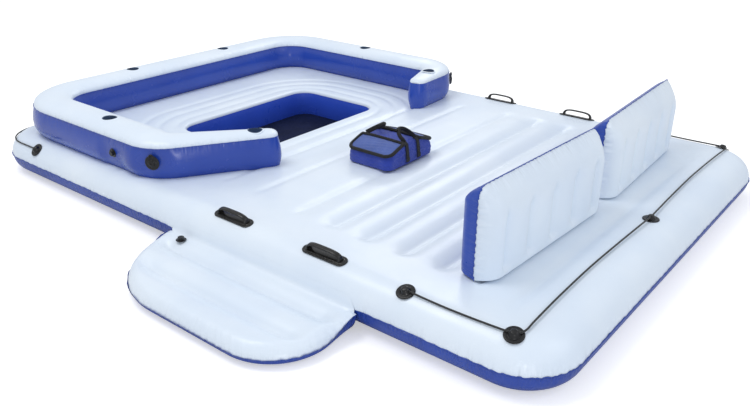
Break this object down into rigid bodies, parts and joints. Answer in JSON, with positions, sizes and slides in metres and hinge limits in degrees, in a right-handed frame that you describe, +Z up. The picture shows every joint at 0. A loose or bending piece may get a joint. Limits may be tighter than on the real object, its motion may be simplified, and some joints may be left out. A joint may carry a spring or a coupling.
{
  "type": "inflatable floating island",
  "caption": "Inflatable water lounge: sofa with bolster, foot well and cup holders, ribbed lounge with backrests, a folding boarding platform and a cooler bag.",
  "frame": {"origin": "on the underside, below the middle of the hull", "axes": "+X from the sofa end to the backrests, +Y away from the boarding platform, +Z up"},
  "size_m": [3.89, 3.2153, 0.6603],
  "materials": {
    "white_pvc": "satin sheet",
    "blue_pvc": "satin sheet",
    "black_moulding": "semi-matt",
    "net_black": "coated mesh",
    "rope_black": "braided",
    "bag_fabric": "coated weave",
    "bag_lid": "coated weave",
    "bag_webbing": "woven webbing",
    "liner_foil": "crinkled foil"
  },
  "bodies": {
    "island": {"deck_top_sofa_end": "white_pvc", "deck_top_seat_front": "white_pvc", "deck_top_seat_rear": "white_pvc", "deck_top_centre": "white_pvc", "deck_top_side_front": "white_pvc", "deck_top_side_rear": "white_pvc", "deck_top_lounge_end": "white_pvc", "lounge_mattress_top": "white_pvc", "hull_bottom_sofa_end": "blue_pvc", "hull_bottom_seat_front": "blue_pvc", "hull_bottom_seat_rear": "blue_pvc", "hull_bottom_main": "blue_pvc", "well_wall": "blue_pvc", "well_net": "net_black", "bolster_body": "blue_pvc", "bolster_top": "white_pvc", "cup_holder_1": "black_moulding", "cup_holder_2": "black_moulding", "cup_holder_3": "black_moulding", "cup_holder_4": "black_moulding", "cup_holder_5": "black_moulding", "cup_holder_6": "black_moulding", "backrest_front_face": "blue_pvc", "backrest_front_back": "white_pvc", "backrest_rear_face": "blue_pvc", "backrest_rear_back": "white_pvc", "bolster_valve_body": "black_moulding", "hull_valve_body": "black_moulding", "grab_handle_1": "black_moulding", "grab_handle_2": "black_moulding", "grab_handle_3": "black_moulding", "grab_handle_4": "black_moulding", "lounge_rope": "rope_black", "sofa_rope": "rope_black", "lounge_rope_eye_1": "black_moulding", "lounge_rope_eye_2": "black_moulding", "lounge_rope_eye_3": "black_moulding", "lounge_rope_eye_4": "black_moulding", "lounge_rope_eye_5": "black_moulding", "sofa_rope_eye_1": "black_moulding", "sofa_rope_eye_2": "black_moulding", "sofa_rope_eye_3": "black_moulding", "sofa_rope_eye_4": "black_moulding", "bolster_eye_1": "black_moulding", "bolster_eye_2": "black_moulding", "bolster_eye_3": "black_moulding", "bolster_eye_4": "black_moulding"},
    "boarding_platform": {"platform_top": "white_pvc", "platform_bottom": "blue_pvc", "platform_hinge_bead": "white_pvc", "platform_valve_body": "black_moulding"},
    "platform_cap": {"platform_valve_cap": "black_moulding"},
    "bolster_cap": {"bolster_valve_cap": "black_moulding"},
    "hull_cap": {"hull_valve_cap": "black_moulding"},
    "cooler_bag": {"bag_body": "bag_fabric", "bag_liner": "liner_foil"},
    "lid_front": {"bag_lid_front": "bag_lid"},
    "lid_rear": {"bag_lid_rear": "bag_lid"},
    "handle_inner": {"bag_handle_inner": "bag_webbing"},
    "handle_outer": {"bag_handle_outer": "bag_webbing"}
  },
  "joints": [
    {"name": "platform_fold", "type": "hinge", "parent": "island", "child": "boarding_platform", "pos_m": [0.445, -1.3753, 0.1093], "axis": [-1, 0, 0], "range_deg": [-12, 78]},
    {"name": "platform_cap_hinge", "type": "hinge", "parent": "boarding_platform", "child": "platform_cap", "pos_m": [-0.01, -1.4189, 0.1173], "axis": [0, 1, 0], "range_deg": [0, 175]},
    {"name": "bolster_cap_hinge", "type": "hinge", "parent": "island", "child": "bolster_cap", "pos_m": [-0.78, -1.2789, 0.355], "axis": [-1, 0, 0], "range_deg": [0, 175]},
    {"name": "hull_cap_hinge", "type": "hinge", "parent": "island", "child": "hull_cap", "pos_m": [-0.73, 1.3361, 0.2144], "axis": [0, 0.7079, -0.7063], "range_deg": [0, 175]},
    {"name": "bag_lift", "type": "slide", "parent": "island", "child": "cooler_bag", "axis": [0, 0, 1], "range_m": [0, 0.4]},
    {"name": "lid_front_hinge", "type": "hinge", "parent": "cooler_bag", "child": "lid_front", "pos_m": [0.285, -0.35, 0.3283], "axis": [1, 0, 0], "range_deg": [0, 110]},
    {"name": "lid_rear_hinge", "type": "hinge", "parent": "cooler_bag", "child": "lid_rear", "pos_m": [0.285, 0.07, 0.3283], "axis": [-1, 0, 0], "range_deg": [0, 110]},
    {"name": "handle_outer_hinge", "type": "hinge", "parent": "cooler_bag", "child": "handle_outer", "pos_m": [0.423, -0.14, 0.3706], "axis": [0, 1, 0], "range_deg": [0, 90]},
    {"name": "handle_inner_hinge", "type": "hinge", "parent": "cooler_bag", "child": "handle_inner", "pos_m": [0.147, -0.14, 0.3706], "axis": [0, -1, 0], "range_deg": [0, 90]}
  ]
}
